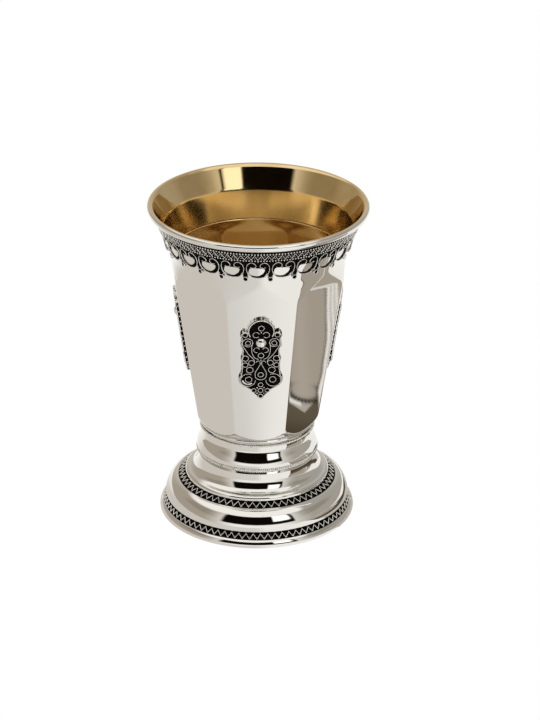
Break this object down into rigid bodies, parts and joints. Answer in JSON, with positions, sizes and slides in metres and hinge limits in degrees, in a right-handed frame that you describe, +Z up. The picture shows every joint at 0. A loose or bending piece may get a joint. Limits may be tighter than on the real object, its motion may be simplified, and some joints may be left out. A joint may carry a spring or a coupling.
{
  "type": "kiddush cup",
  "caption": "Eight-sided flared silver cup with a rolled lip, gilt inside, filigree band and plaques, on a round stepped foot.",
  "frame": {"origin": "on the table plane, under the middle of the cup", "axes": "+Z up along the cup's axis, -Y towards the front plaque, +X towards the right plaque"},
  "size_m": [0.066, 0.066, 0.1],
  "materials": {
    "silver": "mirror-polished silver, gilt inside the beaker",
    "filigree": "silver wirework, blackened in its hollows"
  },
  "bodies": {
    "root": {"beaker": "silver", "foot": "silver", "rim_band": "filigree", "plaque_front": "filigree", "plaque_right": "filigree", "plaque_back": "filigree", "plaque_left": "filigree", "foot_wire_lower": "filigree", "foot_wire_upper": "filigree", "collar_wire_lower": "silver", "collar_wire_upper": "silver"}
  },
  "joints": []
}
